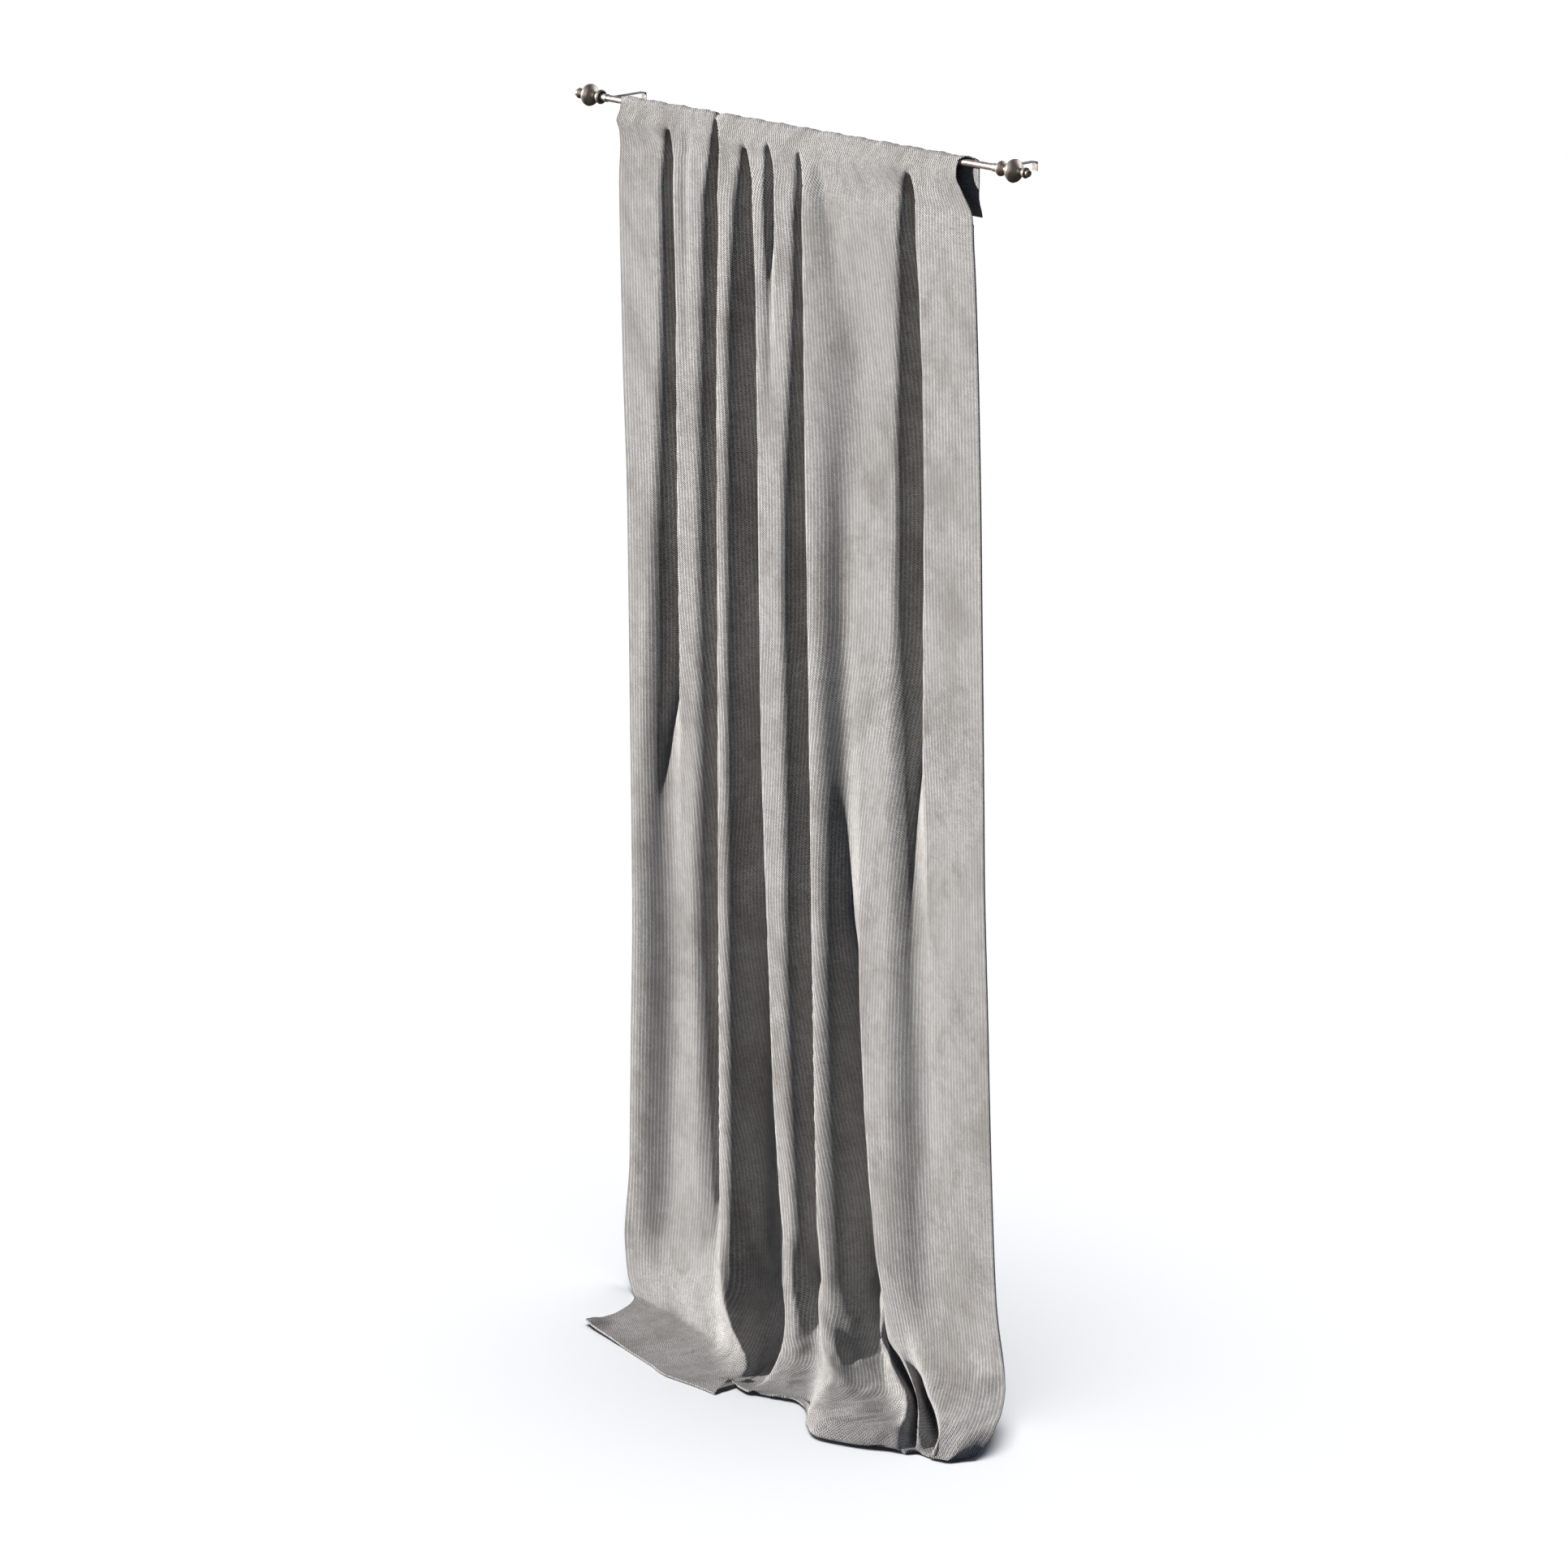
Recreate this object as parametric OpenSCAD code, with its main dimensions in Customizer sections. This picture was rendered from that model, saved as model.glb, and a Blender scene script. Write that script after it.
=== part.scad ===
// A long rod-pocket curtain panel on a thin metal rod, with two turned finials
// and two bent-strip wall brackets.  Millimetres, +Z up, front towards -Y.
// The origin is on the wall, midway between the two bracket screw holes.

/* [Rod] */
// Outside diameter of the rod
rod_d = 13; // [12:0.5:16]
// Wall thickness of the rod tube
rod_wall = 1; // [0.8:0.1:1.4]
// Distance between the middles of the two brackets
span = 1050; // [950:10:1200]
// Height of the rod's axis above the floor
rod_height = 2440; // [2300:10:2600]

/* [Brackets] */
// Distance from the wall to the rod's axis
rod_out = 103; // [90:1:130]
// Width of the bracket strip
strip_w = 14; // [12:0.5:16]
// Thickness of the bracket strip
strip_t = 1.2; // [1:0.1:1.6]
// Height of the wall plate
plate_h = 18; // [16:0.5:24]
// Radius of the screw hole in the wall plate
hole_r = 2.25; // [2:0.05:2.6]

/* [Finials] */
// Largest radius of the finial's ball, at its middle band
ball_r = 21.8; // [20:0.1:24]
// Largest radius of the cup beside the bracket
cup_r = 14.2; // [13:0.1:16]
// Radius of the stepped cup before the end knob
tip_r = 10.2; // [9.5:0.1:12]
// Radius of the end knob
knob_r = 7.2; // [6:0.1:8]
// Radius of the threaded stud that ties the finial together
stud_r = 3; // [2.5:0.25:3.5]

/* [Curtain] */
// Width of the gathered cloth at the rod
head_w = 945; // [850:5:960]
// Distance of the gathered cloth's middle to the left of the rod's middle
head_shift = 10; // [0:1:20]
// Depth of the rod pocket below the rod's axis
pocket_drop = 100; // [80:5:120]
// Thickness of the cloth
cloth_t = 2; // [1.6:0.1:2.4]
// Number of folds across the cloth
folds = 7; // [5:1:8]
// Depth of the folds, from crest to middle
fold_depth = 27; // [15:1:30]
// Length of cloth that lies forward on the floor
floor_run = 225; // [180:5:240]
// Depth of the bottom hem
hem_h = 50; // [40:5:60]

/* [Hidden] */

$fn = 64;
turn_gap = 0.08;        // radial running clearance of the rod in a bracket eye
thread_gap = 0.05;      // radial clearance of the stud in its threaded insert
rod_r = rod_d / 2;
rod_z = 10;             // rod axis above the screw holes
floor_z = rod_z - rod_height;

// Bracket
eye_r = rod_r + turn_gap;
arm_drop = 1;           // arm's middle below the rod's axis
arm_z = rod_z - arm_drop;
bend_r = 2.4;           // outer radius of the bend at the wall
eye_slit = 0.5;         // seam where the strip's end meets the arm

// Stations along the rod, measured outwards from a bracket's middle
cup_s = strip_w / 2 + 1.8;       // rim of the cup
rod_end_s = cup_s + 7.7;         // end of the rod inside the cup
seat_s = rod_end_s + 0.5;        // floor of the cup's recess
neck_s = cup_s + 16.2;           // narrow neck between cup and ball
band_s = neck_s + 16;            // near edge of the middle band
band_w = 6;
shell_s = band_s + band_w;       // far edge of the middle band
tip_s = shell_s + 17;            // start of the stepped tip cup
tip_rim_s = tip_s + 11;
knob_s = tip_s + 5;              // foot of the end knob
knob_l = 13;
recess_r = 11.3;                 // inside of the cup around the bracket eye
neck_r = 7.2;
tip_neck_r = 6.2;
shell_r = ball_r - 0.8;          // the shells sit just inside the band
shell_wall = 1.2;
insert_l = 14;
stud_back = 10;                  // length of stud screwed into the rod
stud_front = knob_l - 4;         // length of stud inside the knob
knob_dimple_r = 4.4;
knob_dimple_l = 3;

// Cloth
pocket_r = rod_r + 2.5;          // inside radius of the pocket over the rod
bend_floor = 110;                // radius in which the cloth turns forward on the floor
lie_gap = 1;                     // cloth's underside above the floor
across = 84;                     // steps across the cloth
hem_steps = 2;                   // steps taken by a side hem
hang_l = rod_height - bend_floor - pocket_drop;
turn_l = bend_floor * PI / 2;
panel_l = hang_l + turn_l + floor_run;
hang_levels = [0, 60, 140, 300, 700, 1200, 1700];
turn_steps = 5;
run_steps = 4;

function mix(a, b, f) = a + (b - a) * f;
function clamp(v) = min(1, max(0, v));
function ease(v) = let (f = clamp(v)) f * f * (3 - 2 * f);

// Points of a smooth curve through a short list of points
function spline(p, steps) = [
    for (i = [1 : len(p) - 3], k = [0 : steps - 1])
        let (f = k / steps, a = p[i - 1], b = p[i], c = p[i + 1], d = p[i + 2])
            0.5 * (2 * b + (c - a) * f + (2 * a - 5 * b + 4 * c - d) * f * f
                   + (3 * b - a - 3 * c + d) * f * f * f),
    p[len(p) - 2]];

// --- hardware -------------------------------------------------------------

// A solid of revolution about the rod's axis; profile points are [station, radius]
module lathe(side, profile) {
    translate([side * span / 2, -rod_out, rod_z])
        rotate([0, side * 90, 0])
            rotate_extrude()
                polygon([for (p = profile) [p[1], p[0]]]);
}

// A plain cylinder along the rod, between two stations
module along(side, s0, s1, r) {
    translate([side * span / 2, -rod_out, rod_z])
        rotate([0, side * 90, 0])
            translate([0, 0, s0])
                cylinder(r = r, h = s1 - s0);
}

module bracket(side) {
    color([0.46, 0.41, 0.35])
        translate([side * span / 2, 0, 0]) {
            difference() {
                union() {
                    translate([0, -rod_out, rod_z])
                        rotate([0, 90, 0])
                            cylinder(r = eye_r + strip_t, h = strip_w, center = true);
                    arm_start = -rod_out + eye_r + strip_t / 2;
                    translate([-strip_w / 2, arm_start, arm_z - strip_t / 2])
                        cube([strip_w, -bend_r - arm_start, strip_t]);
                }
                translate([0, -rod_out, rod_z])
                    rotate([0, 90, 0])
                        cylinder(r = eye_r, h = strip_w + 2, center = true);
                translate([-strip_w, -rod_out + eye_r - strip_t, arm_z - strip_t / 2 - eye_slit])
                    cube([2 * strip_w, 2 * strip_t, eye_slit]);
            }
            intersection() {
                translate([0, -bend_r, arm_z + strip_t / 2 - bend_r])
                    rotate([0, 90, 0])
                        difference() {
                            cylinder(r = bend_r, h = strip_w, center = true);
                            cylinder(r = bend_r - strip_t, h = strip_w + 2, center = true);
                        }
                translate([-strip_w, -bend_r, arm_z + strip_t / 2 - bend_r])
                    cube([2 * strip_w, bend_r, bend_r]);
            }
            difference() {
                translate([-strip_w / 2, -strip_t, arm_z + strip_t / 2 - plate_h])
                    cube([strip_w, strip_t, plate_h - bend_r]);
                translate([0, -2 * strip_t, 0])
                    rotate([-90, 0, 0])
                        cylinder(r = hole_r, h = 3 * strip_t);
            }
        }
}

module rod_tube() {
    half = span / 2 + rod_end_s;
    color([0.55, 0.50, 0.44])
        translate([0, -rod_out, rod_z])
            rotate([0, 90, 0])
                difference() {
                    cylinder(r = rod_r, h = 2 * half, center = true);
                    cylinder(r = rod_r - rod_wall, h = 2 * half + 2, center = true);
                }
}

module rod_insert(side) {
    color([0.60, 0.58, 0.55])
        difference() {
            along(side, rod_end_s - insert_l, rod_end_s, rod_r - rod_wall);
            along(side, rod_end_s - insert_l - 1, rod_end_s + 1, stud_r + thread_gap);
        }
}

// The bowl beside the bracket: rounded outside, hollow towards the rod
module finial_cup(side) {
    outside = spline([[cup_s - 2, cup_r - 4], [cup_s, cup_r - 1.6], [cup_s + 3.4, cup_r],
                      [cup_s + 8, cup_r - 1.8], [cup_s + 12, cup_r - 5], [neck_s, neck_r],
                      [neck_s + 4, neck_r + 1]], 5);
    color([0.46, 0.41, 0.35])
        lathe(side, concat(outside, [[neck_s, stud_r], [seat_s, stud_r], [seat_s, recess_r],
                                     [cup_s, recess_r]]));
}

// Hollow half of the ball; dir is 1 for the half on the rod's side
module ball_half(side, s_neck, s_band, r_neck, bead) {
    dir = sign(s_band - s_neck);
    run = abs(s_band - s_neck);
    outside = spline([[s_neck - dir * 4, r_neck + 1.2], [s_neck, r_neck],
                      [s_neck + dir * run * 0.30, r_neck + 1.2],
                      [s_neck + dir * run * 0.50, mix(r_neck, shell_r, 0.40)],
                      [s_neck + dir * run * 0.66, mix(r_neck, shell_r, 0.68) + bead],
                      [s_neck + dir * run * 0.84, mix(r_neck, shell_r, 0.90)],
                      [s_band, shell_r], [s_band + dir * 2, shell_r - 0.5]], 5);
    inside = [for (i = [len(outside) - 1 : -1 : 0])
                 [outside[i][0], max(stud_r, outside[i][1] - shell_wall * 1.6)]];
    lathe(side, concat(outside, inside));
}

module finial_inner_shell(side) {
    color([0.40, 0.36, 0.31])
        ball_half(side, neck_s, band_s, neck_r, 0.8);
}

module finial_outer_shell(side) {
    color([0.40, 0.36, 0.31])
        ball_half(side, tip_s, shell_s, tip_neck_r, 0);
}

// Ring round the ball's middle, with a rounded edge
module finial_band(side) {
    steps = 8;
    crown = [for (k = [0 : steps])
                let (f = k / steps)
                    [mix(band_s, shell_s, f), mix(ball_r - 1, ball_r, sin(180 * f))]];
    color([0.46, 0.41, 0.35])
        lathe(side, concat(crown, [[shell_s, shell_r - 2], [band_s, shell_r - 2]]));
}

// The stepped cup at the tip, hollow towards the knob
module finial_tip_cup(side) {
    recess = tip_r - 1.8;
    outside = spline([[tip_s - 2, tip_neck_r], [tip_s, tip_neck_r], [tip_s + 4, tip_r - 2.2],
                      [tip_s + 8, tip_r - 0.3], [tip_rim_s - 1, tip_r], [tip_rim_s, tip_r - 0.8],
                      [tip_rim_s, tip_r - 2]], 4);
    color([0.46, 0.41, 0.35])
        lathe(side, concat(outside, [[tip_rim_s, recess], [knob_s, recess], [knob_s, stud_r],
                                     [tip_s, stud_r]]));
}

// The end knob is the nut on the stud, with a dimple in its face
module finial_knob(side) {
    knob_end = knob_s + knob_l;
    outside = spline([[knob_s - 1, knob_r], [knob_s, knob_r - 0.6], [knob_s + 2, knob_r],
                      [knob_end - 3, knob_r], [knob_end - 0.8, knob_r - 0.7],
                      [knob_end, knob_r - 1.8], [knob_end, knob_r - 3]], 4);
    color([0.55, 0.50, 0.44])
        lathe(side, concat([[knob_s, stud_r]], outside,
                           [[knob_end, knob_dimple_r], [knob_end - knob_dimple_l, knob_dimple_r],
                            [knob_end - knob_dimple_l, stud_r]]));
}

module finial_stud(side) {
    color([0.60, 0.58, 0.55])
        along(side, rod_end_s - stud_back, knob_s + stud_front, stud_r);
}

// --- cloth ----------------------------------------------------------------

// Left and right edge of the hanging cloth, a distance l below the pocket
function left_x(l) = mix(-head_w / 2 - head_shift, -455, ease(l / 500))
                     + 122 * ease((l - hang_l) / (turn_l + floor_run));
function right_x(l) = mix(head_w / 2 - head_shift, 590, clamp(l / hang_l))
                      + 70 * ease((l - hang_l) / (turn_l + floor_run));

// Middle line of the cloth: straight down, round onto the floor and forward.
// Gives [y, z, direction of the front side in degrees from -Y towards +Z].
function path(l) =
    let (t = l - hang_l, a = clamp(t / turn_l) * 90, run = max(0, t - turn_l),
         z0 = floor_z + bend_floor)
        t <= 0 ? [-rod_out, rod_z - pocket_drop - l, 0]
               : [-rod_out - bend_floor * (1 - cos(a)) - run,
                  z0 - bend_floor * sin(a) + cloth_t + lie_gap, a];

// Height of the folds above the middle line
function depth(l) = mix(5, fold_depth, ease(l / 260))
                    * mix(1, 0.3, ease((l - hang_l) / (turn_l + floor_run * 0.5)));
function lift(l) = mix(0, 1, ease((l - hang_l) / turn_l)) * depth(l);
function swell(u, l) = 34 * ease((u - 0.62) / 0.25) * ease((l - hang_l) / turn_l)
                       * (1 - 0.75 * ease((l - hang_l - turn_l) / floor_run));

function cloth(u, l) =
    let (p = path(l), d = depth(l) * cos(360 * folds * u) + lift(l) + swell(u, l))
        [mix(left_x(l), right_x(l), u), p[0] - d * cos(p[2]), p[1] + d * sin(p[2])];

function unit(v) = v / norm(v);
function cloth_normal(u, l) =
    let (e = 0.002, g = 2)
        unit(cross(cloth(u, l + g) - cloth(u, l - g), cloth(u + e, l) - cloth(u - e, l)));
function cloth_at(u, l, off) = cloth(u, l) + off * cloth_normal(u, l);

// A closed layer of cloth between two offsets from the middle surface
module layer(us, ls, off0, off1) {
    n = len(us);
    m = len(ls);
    points = concat([for (l = ls, u = us) cloth_at(u, l, off0)],
                    [for (l = ls, u = us) cloth_at(u, l, off1)]);
    k = n * m;
    quads = concat(
        [for (j = [0 : m - 2], i = [0 : n - 2])
            [j * n + i, j * n + i + 1, (j + 1) * n + i + 1, (j + 1) * n + i]],
        [for (j = [0 : m - 2], i = [0 : n - 2])
            [k + j * n + i, k + (j + 1) * n + i, k + (j + 1) * n + i + 1, k + j * n + i + 1]],
        [for (i = [0 : n - 2]) [i, k + i, k + i + 1, i + 1]],
        [for (i = [0 : n - 2], j = [m - 1])
            [j * n + i, j * n + i + 1, k + j * n + i + 1, k + j * n + i]],
        [for (j = [0 : m - 2]) [j * n, (j + 1) * n, k + (j + 1) * n, k + j * n]],
        [for (j = [0 : m - 2], i = [n - 1])
            [j * n + i, k + j * n + i, k + (j + 1) * n + i, (j + 1) * n + i]]);
    halves = [for (q = quads, t = [1, 2]) [q[0], q[t], q[t + 1]]];
    polyhedron(points, halves);
}

us_all = [for (i = [0 : across]) i / across];
ls_turn = [for (k = [0 : turn_steps]) hang_l + turn_l * k / turn_steps];
ls_run = [for (k = [1 : run_steps]) hang_l + turn_l + (floor_run - hem_h) * k / run_steps];
ls_panel = concat(hang_levels, ls_turn, ls_run);
ls_hem = [panel_l - hem_h, panel_l - hem_h / 2, panel_l];

module curtain_panel() {
    color([0.74, 0.72, 0.70])
        layer(us_all, ls_panel, -cloth_t / 2, cloth_t / 2);
}

module side_hem(first) {
    color([0.70, 0.68, 0.66])
        layer([for (i = [first : first + hem_steps]) i / across], ls_panel,
              -3 * cloth_t / 2, -cloth_t / 2);
}

module bottom_hem() {
    color([0.70, 0.68, 0.66])
        layer(us_all, ls_hem, -cloth_t / 2, 3 * cloth_t / 2);
}

// The top of the cloth turned over the rod and sewn down behind
module rod_pocket() {
    arc = [for (a = [0 : 12 : 180]) a];
    seam = 4;
    color([0.74, 0.72, 0.70])
        translate([-head_w / 2 - head_shift, -rod_out, rod_z])
            rotate([90, 0, 90])
                linear_extrude(head_w)
                    difference() {
                        polygon(concat([for (a = arc) (pocket_r + cloth_t) * [cos(a), sin(a)]],
                                       [[-cloth_t, -pocket_drop], [cloth_t, -pocket_drop]]));
                        polygon(concat([for (a = arc) pocket_r * [cos(a), sin(a)]],
                                       [[0, -pocket_drop + seam]]));
                    }
}

bracket(-1);  // bracket_left
bracket(1);  // bracket_right
rod_tube();
rod_insert(-1);  // rod_insert_left
rod_insert(1);  // rod_insert_right
finial_cup(-1);  // finial_cup_left
finial_inner_shell(-1);  // finial_inner_shell_left
finial_band(-1);  // finial_band_left
finial_outer_shell(-1);  // finial_outer_shell_left
finial_tip_cup(-1);  // finial_tip_cup_left
finial_knob(-1);  // finial_knob_left
finial_stud(-1);  // finial_stud_left
finial_cup(1);  // finial_cup_right
finial_inner_shell(1);  // finial_inner_shell_right
finial_band(1);  // finial_band_right
finial_outer_shell(1);  // finial_outer_shell_right
finial_tip_cup(1);  // finial_tip_cup_right
finial_knob(1);  // finial_knob_right
finial_stud(1);  // finial_stud_right
rod_pocket();
curtain_panel();
side_hem(0);  // side_hem_left
side_hem(across - hem_steps);  // side_hem_right
bottom_hem();
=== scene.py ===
"""Looks for a fabric room curtain panel on a wall rod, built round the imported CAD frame.

Metres, in the frame of the CAD: the wall is the plane y = 0, X runs along the rod and +Z is up.
The cloth is a grid of points. Its rows go from the rod pocket's seam behind, over the rod and down
to the hem on the floor, and its columns go from left to right.
"""

import math

import bpy
import numpy as np
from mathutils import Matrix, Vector


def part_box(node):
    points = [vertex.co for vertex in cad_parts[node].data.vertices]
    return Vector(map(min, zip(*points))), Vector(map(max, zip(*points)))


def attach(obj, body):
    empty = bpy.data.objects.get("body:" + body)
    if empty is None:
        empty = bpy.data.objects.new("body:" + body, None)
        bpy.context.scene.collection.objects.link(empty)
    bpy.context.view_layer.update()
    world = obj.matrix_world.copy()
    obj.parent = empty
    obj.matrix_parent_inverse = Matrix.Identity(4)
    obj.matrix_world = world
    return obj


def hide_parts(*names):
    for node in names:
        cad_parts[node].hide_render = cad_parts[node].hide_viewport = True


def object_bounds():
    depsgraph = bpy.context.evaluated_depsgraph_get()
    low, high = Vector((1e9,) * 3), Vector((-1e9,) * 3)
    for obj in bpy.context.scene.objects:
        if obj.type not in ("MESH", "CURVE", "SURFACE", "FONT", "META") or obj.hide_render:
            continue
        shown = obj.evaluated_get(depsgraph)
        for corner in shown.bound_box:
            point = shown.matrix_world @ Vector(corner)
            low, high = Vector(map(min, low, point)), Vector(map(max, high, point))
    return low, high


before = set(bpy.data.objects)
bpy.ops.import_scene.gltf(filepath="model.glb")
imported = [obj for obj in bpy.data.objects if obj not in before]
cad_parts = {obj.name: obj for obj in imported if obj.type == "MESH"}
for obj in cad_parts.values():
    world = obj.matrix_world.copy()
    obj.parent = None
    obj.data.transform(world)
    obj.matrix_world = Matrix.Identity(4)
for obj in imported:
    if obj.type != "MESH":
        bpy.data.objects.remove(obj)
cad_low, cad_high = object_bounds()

# ---------------------------------------------------------------- places taken from the frame

ROD_LOW, ROD_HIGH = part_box("rod_tube")
ROD = (ROD_LOW + ROD_HIGH) / 2                 # middle of the rod's axis
ROD_R = (ROD_HIGH.z - ROD_LOW.z) / 2
FLOOR = cad_low.z                              # the floor, under the cloth
DROP = ROD.z - FLOOR                           # from the rod's axis to the floor

# ---------------------------------------------------------------- the cloth's own sizes

FLAT_WIDTH = 1.37
CLOTH_T = 0.0021                               # thickness
POCKET = 0.100                                 # depth of the rod pocket

COLUMNS = 300
FLOOR_ROWS = 60


def ease(t):
    """0 to 1 with level ends."""
    t = np.clip(t, 0.0, 1.0)
    return t * t * (3 - 2 * t)


def curve(at, values, where):
    """A smooth line through given values, level beyond its ends. `at` rises."""
    at, values = np.asarray(at, float), np.asarray(values, float)
    where = np.clip(np.asarray(where, float), at[0], at[-1])
    gap = np.diff(at)
    slope = np.diff(values) / gap
    before, after = slope[:-1], slope[1:]
    same = before * after > 0
    tangent = np.zeros(len(at))
    tangent[1:-1] = np.where(same, 2 * before * after / np.where(same, before + after, 1), 0)
    tangent[0], tangent[-1] = slope[0], slope[-1]
    k = np.clip(np.searchsorted(at, where, side="right") - 1, 0, len(at) - 2)
    t = (where - at[k]) / gap[k]
    a, b = values[k], values[k + 1]
    ta, tb = tangent[k] * gap[k], tangent[k + 1] * gap[k]
    return ((2 * t**3 - 3 * t**2 + 1) * a + (t**3 - 2 * t**2 + t) * ta
            + (3 * t**2 - 2 * t**3) * b + (t**3 - t**2) * tb)


def lengths(line):
    """How far along a line of points each of them is."""
    return np.concatenate([[0], np.cumsum(np.linalg.norm(np.diff(line, axis=0), axis=1))])


def noise(seed, t, scale):
    """A slow wander of about -1 to 1 along t: three waves, whose heights and starts the seed sets."""
    return sum(math.sin(seed * 12.9 + k * 4.1) * np.sin(t * k / scale + seed * 3.7 * k) / k
               for k in (1.0, 2.3, 4.1))


# ---------------------------------------------------------------- the folds
# A fold is a valley in the cloth. One row of it says, in this order: the depth below the rod's axis,
# where the face before it starts to turn back, the length of that turn, the slope it reaches, how far
# it holds that slope, how much deeper the valley falls, where the lip after it is, and how far behind
# the last face the next one lies. Places along X are those where the line of sight meets the lips' plane.

VALLEYS = {
    "first": [
        (0.035, -0.345, 0.006, 0.9, 0, 0.012, -0.328, 0),
        (0.10, -0.352, 0.013, 0.9, 0, 0.042, -0.313, 0),
        (0.40, -0.357, 0.018, 0.9, 0, 0.045, -0.304, 0),
        (0.80, -0.382, 0.030, 0.9, 0, 0.036, -0.302, 0.003),
        (1.20, -0.418, 0.048, 0.76, 0.004, 0.013, -0.298, 0.015),
        (1.40, -0.430, 0.046, 0.62, 0.012, 0, -0.299, 0.026),
        (1.60, -0.437, 0.042, 0.57, 0.018, 0, -0.300, 0.032),
        (1.90, -0.440, 0.042, 0.56, 0.020, 0, -0.290, 0.034),
        (2.15, -0.448, 0.042, 0.50, 0.024, 0, -0.285, 0.032),
        (2.35, -0.450, 0.040, 0.47, 0.026, 0, -0.280, 0.030),
    ],
    "pleat": [
        (0.03, -0.304, 0.012, 0.30, 0, 0, -0.262, 0),
        (0.20, -0.300, 0.014, 0.24, 0, 0, -0.262, 0),
        (0.55, -0.292, 0.014, 0, 0, 0, -0.262, 0),
    ],
    "second": [
        (0.00, -0.212, 0.003, 0.6, 0, 0.008, -0.201, 0),
        (0.06, -0.222, 0.008, 0.9, 0, 0.035, -0.190, 0),
        (0.20, -0.240, 0.016, 0.9, 0, 0.045, -0.185, 0),
        (0.40, -0.248, 0.020, 0.9, 0, 0.045, -0.190, 0),
        (0.80, -0.256, 0.022, 0.9, 0, 0.045, -0.190, -0.003),
        (1.20, -0.258, 0.026, 0.9, 0, 0.040, -0.190, -0.012),
        (1.60, -0.272, 0.034, 0.9, 0, 0.036, -0.190, -0.038),
        (1.90, -0.262, 0.034, 0.85, 0, 0.022, -0.190, -0.036),
        (2.15, -0.260, 0.040, 0.5, 0.005, 0.006, -0.188, -0.028),
        (2.35, -0.262, 0.046, 0.35, 0.005, 0.002, -0.186, -0.022),
    ],
    "third": [
        (0.04, -0.132, 0.006, 0.8, 0, 0.010, -0.116, 0),
        (0.12, -0.148, 0.014, 0.9, 0, 0.040, -0.092, 0),
        (0.40, -0.172, 0.017, 0.9, 0, 0.050, -0.080, 0),
        (1.20, -0.176, 0.018, 0.9, 0, 0.055, -0.067, 0),
        (1.60, -0.175, 0.018, 0.9, 0, 0.058, -0.050, 0),
        (1.90, -0.171, 0.016, 0.9, 0, 0.058, -0.036, 0),
        (2.15, -0.170, 0.015, 0.9, 0, 0.055, -0.014, 0),
        (2.35, -0.168, 0.014, 0.9, 0, 0.050, 0.008, 0),
    ],
    "tuck": [
        (0.03, -0.070, 0.004, 0.7, 0, 0.008, -0.056, 0),
        (0.08, -0.070, 0.007, 0.85, 0, 0.022, -0.038, 0),
        (0.16, -0.066, 0.008, 0.8, 0, 0.014, -0.030, 0),
        (0.30, -0.068, 0.014, 0.4, 0, 0.002, -0.030, 0),
        (0.55, -0.068, 0.016, 0, 0, 0, -0.028, 0),
    ],
    "fourth": [
        (0.035, 0.014, 0.005, 0.8, 0, 0.010, 0.027, 0),
        (0.10, 0.012, 0.013, 0.9, 0, 0.035, 0.041, 0),
        (0.40, 0.000, 0.018, 0.9, 0, 0.042, 0.048, 0),
        (0.80, -0.020, 0.020, 0.9, 0, 0.048, 0.057, 0),
        (1.20, -0.015, 0.020, 0.9, 0, 0.048, 0.066, 0),
        (1.60, -0.012, 0.020, 0.9, 0, 0.048, 0.073, 0),
        (1.90, -0.003, 0.022, 0.9, 0, 0.045, 0.080, 0),
        (2.15, 0.010, 0.024, 0.88, 0, 0.040, 0.089, 0),
        (2.35, 0.022, 0.030, 0.85, 0, 0.035, 0.103, 0),
    ],
    "fifth": [
        (0.05, 0.052, 0.014, 0.34, 0, 0, 0.11, 0),
        (0.40, 0.055, 0.085, 0.33, 0, 0, 0.20, 0.022),
        (0.80, 0.070, 0.040, 0.58, 0.012, 0, 0.20, 0.027),
        (1.20, 0.080, 0.028, 0.68, 0.020, 0, 0.205, 0.026),
        (1.60, 0.085, 0.030, 0.86, 0.014, 0.016, 0.206, 0.014),
        (1.90, 0.090, 0.034, 0.9, 0, 0.040, 0.222, -0.005),
        (2.15, 0.098, 0.040, 0.9, 0, 0.045, 0.250, -0.012),
        (2.35, 0.108, 0.036, 0.9, 0, 0.045, 0.280, -0.012),
    ],
    "sixth": [
        (0.035, 0.300, 0.006, 0.8, 0, 0.010, 0.318, 0),
        (0.08, 0.290, 0.012, 0.9, 0, 0.040, 0.335, 0),
        (0.26, 0.290, 0.014, 0.9, 0, 0.045, 0.352, -0.012),
        (0.60, 0.290, 0.016, 0.9, 0, 0.050, 0.369, -0.026),
        (0.90, 0.284, 0.026, 0.88, 0, 0.036, 0.370, -0.026),
        (1.15, 0.279, 0.040, 0.78, 0, 0.014, 0.373, -0.010),
        (1.35, 0.274, 0.050, 0.69, 0, 0.002, 0.384, 0.008),
        (1.60, 0.270, 0.052, 0.56, 0, 0, 0.40, 0.022),
        (1.90, 0.270, 0.056, 0.48, 0.006, 0, 0.43, 0.026),
        (2.15, 0.274, 0.060, 0.40, 0.008, 0, 0.44, 0.025),
        (2.35, 0.300, 0.062, 0.38, 0.006, 0, 0.46, 0.024),
    ],
}
ENDING = ("pleat", "tuck")                     # these folds end at their last row

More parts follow.
